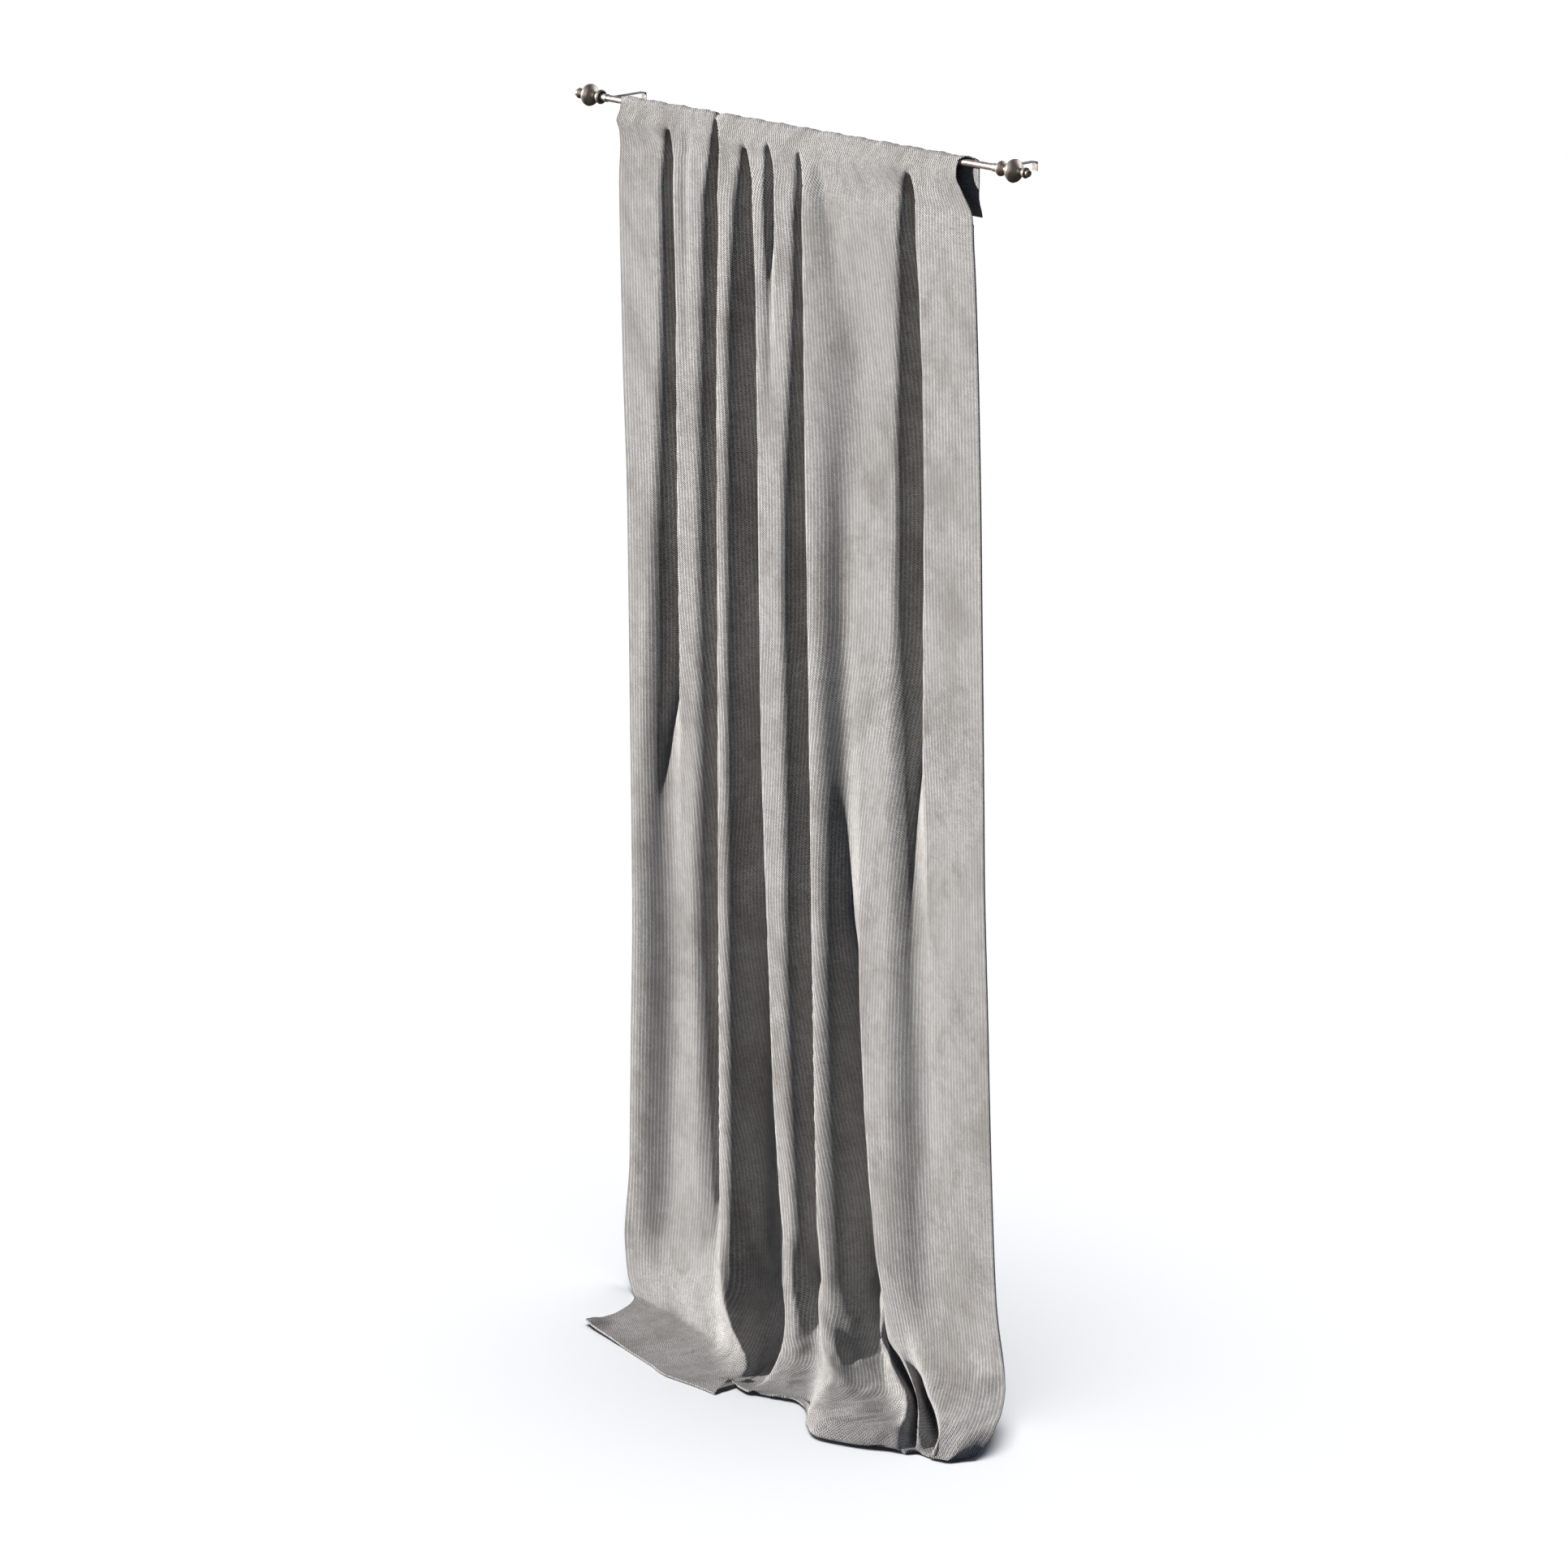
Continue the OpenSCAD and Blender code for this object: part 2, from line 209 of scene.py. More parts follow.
# The cloth's two edges, and its lips' plane: a place at each depth below the rod's axis.
LEFT_EDGE = [(0.0, -0.470), (0.015, -0.472), (0.036, -0.480), (0.055, -0.470), (0.10, -0.462),
             (0.28, -0.456), (0.60, -0.446), (0.76, -0.440), (1.26, -0.436), (1.60, -0.434),
             (1.95, -0.443), (2.31, -0.450), (2.40, -0.445)]
RIGHT_EDGE = [(0.0, 0.437), (0.012, 0.4335), (0.028, 0.4345), (0.05, 0.4505), (0.10, 0.4855),
              (0.29, 0.505), (0.59, 0.520), (0.90, 0.529), (1.22, 0.539), (1.53, 0.547), (1.86, 0.558),
              (2.10, 0.570), (2.27, 0.583), (2.40, 0.594)]
CREST = [(0.0, -ROD_R - 0.003), (0.05, -0.014), (0.16, -0.026), (0.5, -0.030)]
FORWARD = [(0.6, 0.0), (1.6, -0.015)]          # the first face's Y from that plane

SIGHT = 1.03                                   # shift along X of what lies 1 behind the lips' plane
SAMPLES = 3000                                 # fine steps along X in one level line
OPENS_ABOVE = 0.010                            # a fold's opening counts from this far above its first row
OPENS_OVER = 0.036                             # and is complete this much lower
LEVEL_MAX = 0.055                              # longest stretch in which a slope levels out again
WALL = 0.012                                   # width of a deep valley's far wall
SHALLOW_WALL = 0.05                            # how much wider a shallow valley's is
DEEP = 0.03                                    # a valley with this much extra fall is deep
WALL_SHARE = 0.45                              # the wall's most, as a share of its valley's width
BEND = 0.003                                   # width of the bends at the wall's foot and lip
FALL_SHARE = 0.7                               # the extra fall's width, as a share of the bottom's
FALL_LEAST, FALL_MOST = 0.004, 0.034
SHIFT_RIGHT = 0.006                            # every valley stands this much further right
SHIFT_OVER = 0.35                              # from this depth down, and less above it


def at_depth(rows, depth_below, column=1):
    """One column of a table, at a depth."""
    return float(curve([r[0] for r in rows], [r[column] for r in rows], depth_below))


def valley(rows, depth_below, face):
    """Three lines of (x, slope) that make one valley, and how far back it leaves the next face."""
    grow = float(ease((depth_below - rows[0][0] + OPENS_ABOVE) / OPENS_OVER))
    start, turn, steep, hold, fall, lip, back = [at_depth(rows, depth_below, k) for k in range(1, 8)]
    steep, fall, back = steep * grow, fall * grow, back * grow
    shift = SHIFT_RIGHT * float(ease(depth_below / SHIFT_OVER))
    start += shift - SIGHT * face
    lip += shift - SIGHT * (face + back)
    level = min(0.9 * turn, LEVEL_MAX)
    depth = steep * (turn / 2 + hold + level / 2) + fall
    wall = WALL + SHALLOW_WALL * (1 - float(ease(fall / DEEP)))
    wall = min(wall, WALL_SHARE * (lip - start))
    turned = start + turn
    room = min(max((lip - wall - turned) * FALL_SHARE, FALL_LEAST), FALL_MOST)
    rise = (depth - back) / (wall - BEND)
    turning = [(start, 0), (turned, steep), (turned + hold, steep), (turned + hold + level, 0)]
    falling = [(turned, 0), (turned + room / 2, 2 * fall / room), (turned + room, 0)]
    rising = [(lip - wall, 0), (lip - wall + BEND, -rise), (lip - BEND, -rise), (lip, 0)]
    return [turning, falling, rising], back


def cross_section(depth_below):
    """x and y, from the rod's axis, of one level line of the cloth, in fine steps."""
    front = at_depth(FORWARD, depth_below)
    slopes = []
    face = front
    for name, rows in VALLEYS.items():
        if depth_below < rows[0][0] or name in ENDING and depth_below > rows[-1][0]:
            continue
        made, back = valley(rows, depth_below, face)
        slopes += made
        face += back
    low = at_depth(LEFT_EDGE, depth_below) - SIGHT * front
    high = at_depth(RIGHT_EDGE, depth_below) - SIGHT * face
    x = np.linspace(low, high, SAMPLES)
    total = np.zeros(SAMPLES)
    for line in slopes:
        total += np.interp(x, [p[0] for p in line], [p[1] for p in line])
    # the last face turns back a little low down, and every face wanders slightly
    total += 0.06 * ease((x - 0.40) / 0.08) * ease((depth_below - 1.3) / 0.4)
    total += 0.010 * noise(3, x, 0.05) * ease(depth_below / 0.2)
    step = x[1] - x[0]
    falls = np.concatenate([[0], np.cumsum((total[1:] + total[:-1]) / 2 * step)])
    return x, at_depth(CREST, depth_below) + front + falls


def level_line(depth_below):
    """x and y of one point per column at one depth, spaced evenly along the cloth."""
    x, y = cross_section(depth_below)
    run = lengths(np.stack([x, y], 1))
    at = np.linspace(0, run[-1], COLUMNS + 1)
    return np.interp(at, run, x), np.interp(at, run, y)


# ---------------------------------------------------------------- the rod pocket

BACK_LEFT, BACK_RIGHT = -0.474, 0.4745         # ends of the layer behind, near the rod
EDGE_COLUMNS = 12                              # the columns that its right edge is pulled in with
TUCK_UNDER = 0.012                             # depth at which the layer behind meets the rod
OFF_ROD = 0.0035                               # from the rod to the layer behind it
OFF_FOLDS = 0.003                              # and from the folds in front to that layer
SLACK = 0.004                                  # how much further back its seam may hang
OVER_ROD = 0.0046                              # from the rod to the cloth over it
RIPPLE = 0.0020                                # height of the fine gathers there
PINCH_X = -0.204                               # a notch on top of the rod, at the second fold
PINCH = 0.004                                  # its depth and half its width


def behind_rod():
    """Rows from the pocket's rear seam up to the rod."""
    rows = []
    for d in np.linspace(POCKET, TUCK_UNDER, 9):
        near_x, near_y = level_line(float(d))
        w = ease((d - TUCK_UNDER) / (POCKET - TUCK_UNDER))
        x = near_x * w + np.linspace(BACK_LEFT, BACK_RIGHT, COLUMNS + 1) * (1 - w)
        pull = ease(np.linspace(0, 1, EDGE_COLUMNS))
        x[-EDGE_COLUMNS:] += (-BACK_LEFT - x[-1]) * pull * (1 - w * 0.6)
        touching = np.interp(x, near_x, near_y) + OFF_FOLDS
        y = np.maximum(ROD_R + OFF_ROD + SLACK * w, touching)
        rows.append(np.stack([x, y, np.full_like(x, -d)], 1))
    return rows


def over_rod():
    """Rows over the top of the rod, from behind it to its front."""
    rows = []
    front_top = level_line(0.0)[0]
    for turn in np.linspace(0, math.pi, 11)[:-1]:
        w = ease(turn / math.pi)
        left = BACK_LEFT + 0.010 * math.sin(turn)
        x = np.linspace(left, BACK_RIGHT, COLUMNS + 1) * (1 - w) + front_top * w
        pinch = PINCH * np.exp(-((x - PINCH_X) / PINCH) ** 2)
        reach = ROD_R + OVER_ROD + RIPPLE * noise(8, x, 0.011) * math.sin(turn) - pinch
        rows.append(np.stack([x, reach * math.cos(turn), reach * math.sin(turn)], 1))
    return rows


# ---------------------------------------------------------------- the cloth on the floor
# For columns at these places along X just above the floor: the points that each follows down to its
# hem, in millimetres, from the rod's axis along X and Y and above the floor.

FLOOR_NET = [
    (-0.447, [(-449, -46, 120), (-440, -52, 70), (-415, -68, 30), (-385, -84, 8), (-364, -98, 3),
              (-340, -140, 3), (-328, -200, 6), (-333, -261, 13)]),
    (-0.400, [(-401, -40, 120), (-392, -48, 70), (-366, -66, 30), (-335, -86, 10), (-312, -102, 3),
              (-296, -145, 3), (-282, -205, 5), (-280, -272, 9)]),
    (-0.350, [(-350, -24, 120), (-338, -34, 75), (-308, -60, 36), (-272, -88, 12), (-246, -112, 3),
              (-238, -155, 3), (-232, -215, 4), (-232, -281, 8)]),
    (-0.285, [(-284, -17, 120), (-270, -28, 78), (-236, -62, 42), (-196, -98, 16), (-168, -128, 4),
              (-160, -175, 3), (-156, -235, 3), (-155, -297, 3)]),
    (-0.225, [(-222, -12, 120), (-206, -26, 82), (-168, -66, 48), (-118, -108, 22), (-82, -142, 6),
              (-78, -190, 3), (-80, -250, 3), (-85, -312, 3)]),
    (-0.195, [(-186, -22, 120), (-166, -42, 90), (-120, -86, 60), (-62, -130, 36), (-22, -172, 14),
              (-8, -215, 5), (-14, -265, 3), (-22, -327, 3)]),
    (-0.178, [(-168, -46, 120), (-146, -60, 94), (-98, -98, 68), (-32, -138, 45), (22, -166, 31),
              (62, -190, 23), (84, -215, 14), (72, -248, 4), (46, -322, 3)]),
    (-0.158, [(-148, -38, 120), (-128, -48, 90), (-80, -84, 56), (-20, -124, 30), (38, -158, 15),
              (80, -190, 8), (96, -216, 4), (92, -258, 3), (78, -321, 3)]),
    (-0.128, [(-112, 12, 120), (-88, 4, 70), (-42, -36, 22), (5, -88, 4), (52, -142, 3), (90, -196, 3),
              (112, -250, 3), (109, -322, 3)]),
    (-0.080, [(-70, 28, 120), (-46, 20, 65), (-8, -18, 16), (34, -72, 3), (70, -130, 3), (98, -186, 3),
              (110, -224, 4), (86, -262, 9)]),
    (-0.035, [(-25, 28, 120), (-6, 18, 62), (26, -18, 16), (58, -70, 3), (88, -125, 3), (115, -178, 3),
              (138, -225, 5), (150, -276, 10)]),
    (0.000, [(4, -33, 120), (14, -38, 80), (38, -62, 44), (70, -102, 24), (102, -148, 15), (134, -198, 10),
             (158, -238, 10), (172, -266, 11)]),
    (0.022, [(28, -32, 120), (42, -40, 82), (72, -68, 46), (110, -108, 27), (150, -154, 17),
             (182, -198, 11), (203, -230, 10), (212, -250, 11)]),
    (0.055, [(64, 13, 120), (80, 0, 80), (112, -46, 40), (152, -94, 25), (192, -140, 15), (224, -180, 9),
             (244, -208, 9), (252, -238, 9)]),
    (0.100, [(108, -38, 140), (136, -60, 100), (180, -94, 64), (238, -136, 48), (285, -172, 40),
             (312, -218, 34), (330, -262, 26), (350, -306, 8), (335, -282, 3)]),
    (0.125, [(134, -36, 140), (162, -54, 96), (210, -90, 64), (272, -136, 46), (330, -184, 40),
             (362, -232, 33), (384, -285, 28), (404, -333, 8), (385, -305, 3)]),
    (0.150, [(160, -22, 140), (188, -38, 92), (236, -68, 50), (300, -120, 41), (350, -166, 37),
             (396, -214, 36), (426, -262, 32), (452, -320, 8), (430, -290, 3)]),
    (0.200, [(208, 22, 140), (236, 12, 92), (284, -28, 46), (345, -90, 37), (402, -142, 34),
             (455, -194, 32), (486, -238, 34), (502, -298, 8), (472, -270, 3)]),
    (0.240, [(248, -14, 140), (278, -24, 100), (326, -56, 70), (388, -98, 54), (446, -142, 44),
             (492, -188, 34), (520, -228, 32), (540, -274, 8), (508, -240, 3)]),
    (0.262, [(272, -42, 140), (288, -44, 88), (336, -64, 62), (414, -108, 52), (470, -154, 48),
             (508, -200, 42), (532, -238, 30), (554, -268, 8), (515, -235, 3)]),
    (0.274, [(280, -38, 140), (298, -34, 84), (352, -44, 42), (430, -82, 16), (488, -130, 7),
             (530, -182, 5), (558, -224, 5), (572, -260, 4), (530, -215, 3)]),
    (0.300, [(306, -34, 140), (322, -34, 90), (366, -52, 64), (424, -92, 56), (478, -134, 51),
             (522, -176, 42), (560, -216, 24), (590, -242, 5), (545, -200, 3)]),
    (0.325, [(332, -32, 140), (350, -34, 90), (398, -48, 50), (455, -78, 20), (510, -118, 8),
             (556, -160, 5), (592, -202, 5), (614, -240, 4), (565, -190, 3)]),
    (0.352, [(360, -30, 140), (380, -40, 100), (422, -66, 74), (484, -112, 60), (537, -146, 52),
             (580, -180, 42), (612, -208, 24), (634, -234, 6), (585, -180, 3)]),
    (0.420, [(426, -22, 140), (442, -32, 102), (482, -58, 78), (528, -98, 66), (565, -140, 54),
             (592, -180, 42), (612, -215, 26), (622, -245, 5), (580, -180, 3)]),
    (0.500, [(508, -16, 140), (522, -26, 104), (556, -58, 82), (588, -94, 68), (618, -136, 56),
             (640, -180, 38), (654, -212, 20), (655, -234, 5), (610, -160, 3)]),
    (0.570, [(586, -12, 140), (600, -20, 102), (640, -62, 77), (678, -120, 60), (688, -152, 36),
             (686, -186, 12), (676, -192, 4), (625, -130, 3)]),
]
NET_TOP = 2.15                                 # the net starts this far below the rod's axis
NET_RUN = 0.50                                 # the cloth's length from there to its hem, roughly
CRUMPLE = 0.0022                               # height of the small crumples near the floor
CRUMPLE_TOP = 0.10                             # whole up to this height, and gone at twice it
LOWEST = FLOOR + 2 * CLOTH_T + 0.0006          # leaves room for the bottom hem under the cloth


def hanging_part():
    """Rows of points from the front of the rod down to the top of the floor net."""
    depths = np.concatenate([np.arange(0, 0.16, 0.006), np.arange(0.165, NET_TOP, 0.03), [NET_TOP]])
    rows = []
    for d in depths:
        x, y = level_line(float(d))
        rows.append(np.stack([x, y, np.full_like(x, -d)], 1))
    return np.array(rows), depths


def along_points(points, share):
    """Places at shares of the way along a smooth line through the points."""
    points = np.asarray(points, float)
    run = lengths(points)
    return np.stack([curve(run, points[:, k], share * run[-1]) for k in range(3)], 1)


def even_out(row, amount):
    """The same line of points, moved along it towards even spacing."""
    run = lengths(row)
    at = run * (1 - amount) + np.linspace(0, run[-1], len(run)) * amount
    return np.stack([np.interp(at, run, row[:, k]) for k in range(3)], 1)


def floor_net(share):
    """The net's columns at shares of their length, and smoothly between them at every column."""
    x, y = level_line(NET_TOP)
    columns, places = [], []
    for start, points in FLOOR_NET:
        top = (start, float(np.interp(start, x, y)), -NET_TOP)
        rest = [(px / 1000, py / 1000, h / 1000 - DROP) for px, py, h in points]
        columns.append(along_points([top] + rest, share))
        places.append(float(np.interp(start, x, np.arange(COLUMNS + 1))))
    places[0], places[-1] = 0, COLUMNS
    columns = np.array(columns)
    net = np.empty((FLOOR_ROWS + 1, COLUMNS + 1, 3))
    for j in range(FLOOR_ROWS + 1):
        for k in range(3):
            net[j, :, k] = curve(places, columns[:, j, k], np.arange(COLUMNS + 1))
    return net


def floor_part():
    """Rows from the top of the floor net to the hem: from the hanging folds over into the net."""
    share = np.linspace(0, 1, FLOOR_ROWS + 1)
    net = floor_net(share)
    rows = []
    for j in range(1, FLOOR_ROWS + 1):
        d = NET_TOP + share[j] * NET_RUN
        w = ease((share[j] - 0.02) / 0.36)       # the folds give way to the net in its upper part
        x, y = level_line(min(float(d), DROP - 0.05))
        straight = np.stack([x, y, np.full_like(x, -d)], 1)
        rows.append(even_out(straight * (1 - w) + net[j] * w, ease(share[j] / 0.75)))
    rows = np.array(rows)
    across = np.arange(COLUMNS + 1) * FLAT_WIDTH / COLUMNS
    along = share[1:, None] * NET_RUN
    crumple = noise(11, across + 0.6 * along, 0.020) * noise(5, along + 0.3 * across, 0.024)
    raised = np.clip((CRUMPLE_TOP - DROP - rows[:, :, 2]) / -CRUMPLE_TOP, 0, 1)
    rows[:, :, 2] += CRUMPLE * crumple * (1 - raised) * ease(share[1:, None] / 0.4)
    return rows


# ---------------------------------------------------------------- the cloth as a mesh


def grid_mesh(name, rows, uvs):
    """A quad mesh over a grid of points, with its place on the flat cloth as the map `grain`."""
    high, wide = rows.shape[:2]
    mesh = bpy.data.meshes.new(name)
    index = np.arange(high * wide).reshape(high, wide)
    corners = [index[:-1, :-1], index[1:, :-1], index[1:, 1:], index[:-1, 1:]]
    faces = np.stack(corners, -1).reshape(-1, 4)
    mesh.from_pydata(rows.reshape(-1, 3).tolist(), [], faces.tolist())
    layer = mesh.uv_layers.new(name="grain")
    flat = uvs.reshape(-1, 2)[faces.reshape(-1)]
    layer.data.foreach_set("uv", flat.astype(np.float32).ravel())
    mesh.shade_smooth()
    # the rim is sharp, so that the thickness there doesn't shade as part of the face
    edges = np.array([e.vertices[:] for e in mesh.edges])
    row, column = edges // wide, edges % wide
    rim = (row == 0).all(1) | (row == high - 1).all(1)
    rim |= (column == 0).all(1) | (column == wide - 1).all(1)
    sharp = mesh.attributes.new("sharp_edge", "BOOLEAN", "EDGE")
    sharp.data.foreach_set("value", rim)
    return place_object(name, mesh)


def place_object(name, data):
    """A new object in the scene."""
    made = bpy.data.objects.new(name, data)
    bpy.context.scene.collection.objects.link(made)
    return made


def thicken(piece, thickness):
    """Gives the piece its cloth's thickness, behind the drawn face."""
    modifier = piece.modifiers.new("cloth", "SOLIDIFY")
    modifier.thickness = thickness


pocket = np.array(behind_rod() + over_rod())
hanging, depths = hanging_part()
rows = np.concatenate([pocket, hanging, floor_part()]) + np.array([0.0, ROD.y, ROD.z])
rows[:, :, 2] = np.maximum(rows[:, :, 2], LOWEST)

# Lengths along the cloth for its grain: the mean of each pocket row, the depth of each hanging row, and
# below those the way down each column. The first step over the rod's front is 2 mm.
steps = np.linalg.norm(np.diff(pocket, axis=0), axis=2).mean(1)
climb = np.concatenate([[0], np.cumsum(steps)])
downward = np.concatenate([climb - climb[-1] - 0.002, depths])
falls = np.cumsum(np.linalg.norm(np.diff(rows[len(downward) - 1:], axis=0), axis=2), axis=0)
grain = np.concatenate([np.repeat(downward[:, None], COLUMNS + 1, 1), NET_TOP + falls])
across = np.linspace(0, FLAT_WIDTH, COLUMNS + 1)
uvs = np.stack(np.broadcast_arrays(across[None, :], -grain), -1)
curtain = grid_mesh("curtain", rows, uvs)
thicken(curtain, CLOTH_T)

# ---------------------------------------------------------------- hems and stitches

HEM_GAP = 0.0002                                # between the cloth and a hem behind it
HEM_WIDTH = 0.025
STITCH_PITCH = 0.0042
STITCH_LENGTH = 0.0026
THREAD_R = 0.00035                              # half the thread's width
THREAD_RISE = 0.0006                            # how far it stands off the cloth
THREAD_SINK = 0.0003                            # and how far it presses in

# A stitch is a spindle. Its points are two ends, two sides, a top and an underside, and these its faces.
SPINDLE = ((0, 2, 4), (2, 1, 4), (1, 3, 4), (3, 0, 4), (2, 0, 5), (1, 2, 5), (3, 1, 5), (0, 3, 5))

facing = np.cross(np.gradient(rows, axis=0), np.gradient(rows, axis=1))
facing /= np.maximum(np.linalg.norm(facing, axis=2, keepdims=True), 1e-9)


def hem(name, top, bottom, left, right):
    """The turned-back edge of the cloth, against the back of the rows and columns given."""
    part = (slice(top, bottom), slice(left, right))
    turned = rows[part] - facing[part] * (CLOTH_T + HEM_GAP)
    piece = grid_mesh(name, turned, uvs[part] * np.array([1.0, -1.0]))
    thicken(piece, CLOTH_T * 0.8)
    return piece


def stitches(name, lines):
    """A row of short threads along each line of (points, facing) given, on the front of the cloth."""
    points, faces = [], []
    for line, normals in lines:
        run = lengths(line)
        starts = np.arange(STITCH_PITCH, run[-1] - STITCH_PITCH, STITCH_PITCH)
        ends = [np.stack([np.interp(starts + at, run, line[:, k]) for k in range(3)], 1)
                for at in (0.0, STITCH_LENGTH)]
        up = np.stack([np.interp(starts, run, normals[:, k]) for k in range(3)], 1)
        for a, b, n in zip(ends[0], ends[1], up):
            side = np.cross(n, b - a)
            side *= THREAD_R / max(np.linalg.norm(side), 1e-9)
            middle = (a + b) / 2
            first = len(points)
            points += [a, b, middle + side, middle - side]
            points += [middle + n * THREAD_RISE, middle - n * THREAD_SINK]
            faces += [[first + k for k in corners] for corners in SPINDLE]
    mesh = bpy.data.meshes.new(name)
    mesh.from_pydata([list(map(float, p)) for p in points], [], faces)
    return place_object(name, mesh)


SIDE = round(HEM_WIDTH / FLAT_WIDTH * COLUMNS)  # columns across a side hem
BAND = 7                                        # rows across the bottom hem
SEAM = len(pocket) + int(np.searchsorted(depths, POCKET))
left_hem = hem("hem_left", SEAM + 1, -BAND, 0, SIDE + 1)
right_hem = hem("hem_right", SEAM + 1, -BAND, -SIDE - 1, None)
bottom_hem = hem("hem_bottom", -BAND - 1, None, 0, None)
SEWN = [(slice(SEAM, -BAND), SIDE), (slice(SEAM, -BAND), -SIDE - 1), (-BAND - 1,), (SEAM,)]
thread = stitches("stitching", [(rows[part], facing[part]) for part in SEWN])

# ---------------------------------------------------------------- node helpers


def material(name):
    """A new node material and its shader."""
    made = bpy.data.materials.new(name)
    made.use_nodes = True
    return made, made.node_tree.nodes["Principled BSDF"]


def calc(made, kind, *values):
    """A Math node over numbers and sockets; gives its output."""
    node = made.node_tree.nodes.new("ShaderNodeMath")
    node.operation = kind
    for k, value in enumerate(values):
        if isinstance(value, (int, float)):
            node.inputs[k].default_value = value
        else:
            made.node_tree.links.new(value, node.inputs[k])
    return node.outputs[0]


def mottle(made, where, scale, detail=4.0, rough=0.6, stretch=(1, 1, 1)):
    """Noise at places `where`, as a 0 to 1 socket."""
    mapping = made.node_tree.nodes.new("ShaderNodeMapping")
    mapping.inputs["Scale"].default_value = stretch
    made.node_tree.links.new(where, mapping.inputs["Vector"])
    node = made.node_tree.nodes.new("ShaderNodeTexNoise")
    node.inputs["Scale"].default_value = scale
    node.inputs["Detail"].default_value = detail
    node.inputs["Roughness"].default_value = rough
    made.node_tree.links.new(mapping.outputs["Vector"], node.inputs["Vector"])
    return node.outputs["Fac"]


def ramp(made, value, low, high):
    """0 below low, 1 above high, smooth between."""
    node = made.node_tree.nodes.new("ShaderNodeMapRange")
    node.interpolation_type = "SMOOTHSTEP"
    node.inputs["From Min"].default_value = low
    node.inputs["From Max"].default_value = high
    made.node_tree.links.new(value, node.inputs["Value"])
    return node.outputs["Result"]


def mix(made, share, a, b):
    """A colour between two, each given as a tuple or a socket, at the share that a socket gives."""
    node = made.node_tree.nodes.new("ShaderNodeMix")
    node.data_type = "RGBA"
    made.node_tree.links.new(share, node.inputs["Factor"])
    for name, value in (("A", a), ("B", b)):
        socket = [i for i in node.inputs if i.name == name and i.type == "RGBA"][0]
        if isinstance(value, tuple):
            socket.default_value = (*value, 1)
        else:
            made.node_tree.links.new(value, socket)
    return [o for o in node.outputs if o.type == "RGBA"][0]


def bump(made, shader, height, distance, strength):
    """Relief on the shader from a height socket."""
    node = made.node_tree.nodes.new("ShaderNodeBump")
    node.inputs["Distance"].default_value = distance
    node.inputs["Strength"].default_value = strength
    made.node_tree.links.new(height, node.inputs["Height"])
    made.node_tree.links.new(node.outputs["Normal"], shader.inputs["Normal"])


def scaled(colour, *factors):
    """The colour with each channel times its factor."""
    return tuple(c * f for c, f in zip(colour, factors))


# ---------------------------------------------------------------- cloth and thread

WALE = 0.0078                                  # the knit's columns, across
COURSE = 0.0046                                # and its rows, along
LEAN = 1.15                                    # rows that a stitch climbs across its column
WANDER = 0.0016                                # how far the columns stray


def knit_holes(made, grain):
    """Slanting gaps between stitches, in columns between plain ribs, as a 0 to 1 socket."""
    split = made.node_tree.nodes.new("ShaderNodeSeparateXYZ")
    made.node_tree.links.new(grain, split.inputs["Vector"])
    stray = calc(made, "MULTIPLY", mottle(made, grain, 60, 2), WANDER)
    across = calc(made, "ADD", split.outputs["X"], stray)
    in_wale = calc(made, "FRACT", calc(made, "DIVIDE", across, WALE))
    course = calc(made, "DIVIDE", split.outputs["Y"], COURSE)
    phase = calc(made, "ADD", course, calc(made, "MULTIPLY", in_wale, LEAN))
    wave = calc(made, "COSINE", calc(made, "MULTIPLY", phase, 2 * math.pi))
    arch = calc(made, "SINE", calc(made, "MULTIPLY", in_wale, math.pi))
    gaps = calc(made, "MULTIPLY", ramp(made, wave, -0.30, 0.90), ramp(made, arch, 0.24, 0.76))
    uneven = calc(made, "MULTIPLY", mottle(made, grain, 210, 2), 1.1)
    return calc(made, "MULTIPLY", gaps, calc(made, "ADD", uneven, 0.35))


def knit_material(name, light, stain, dark):
    """Rib knit with blotches, wear and flecks, and painted shade in the gaps between stitches, all at
    places along the flat cloth.
    """
    made, shader = material(name)
    place = made.node_tree.nodes.new("ShaderNodeUVMap")
    place.uv_map = "grain"
    grain = place.outputs["UV"]
    hole = knit_holes(made, grain)
    fuzz = calc(made, "MULTIPLY", mottle(made, grain, 900, 2), 0.25)
    bump(made, shader, calc(made, "SUBTRACT", fuzz, hole), 0.0026, 1.0)

    cloudy = ramp(made, mottle(made, grain, 7.5, 8, 0.68, (1, 0.6, 1)), 0.44, 0.66)
    rusty = ramp(made, mottle(made, grain, 14.0, 7, 0.72, (1.3, 0.7, 1)), 0.48, 0.74)
    bluish = ramp(made, mottle(made, grain, 3.2, 4, 0.6, (1.6, 0.4, 1)), 0.45, 0.75)
    speckle = ramp(made, mottle(made, grain, 52, 6, 0.78), 0.44, 0.60)
    flecks = ramp(made, mottle(made, grain, 200, 4, 0.75), 0.44, 0.62)
    layers = (
        (cloudy, 0.75, stain),
        (rusty, 0.70, scaled(stain, 0.80, 0.77, 0.74)),
        (bluish, 0.22, scaled(light, 0.80, 0.84, 0.90)),
        (speckle, 0.26, scaled(stain, 0.60, 0.58, 0.56)),
        (flecks, 0.36, scaled(dark, 1.4, 1.35, 1.3)),
        # painted shade: the gaps between stitches, which are also bumped in, are painted towards the dark
        # colour
        (hole, 0.85, dark),
    )
    colour = light
    for share, amount, tint in layers:
        colour = mix(made, calc(made, "MULTIPLY", share, amount), colour, tint)
    made.node_tree.links.new(colour, shader.inputs["Base Color"])
    shader.inputs["Roughness"].default_value = 0.96
    shader.inputs["Specular IOR Level"].default_value = 0.10
    shader.inputs["Sheen Weight"].default_value = 0.10
    shader.inputs["Sheen Roughness"].default_value = 0.6
    return made


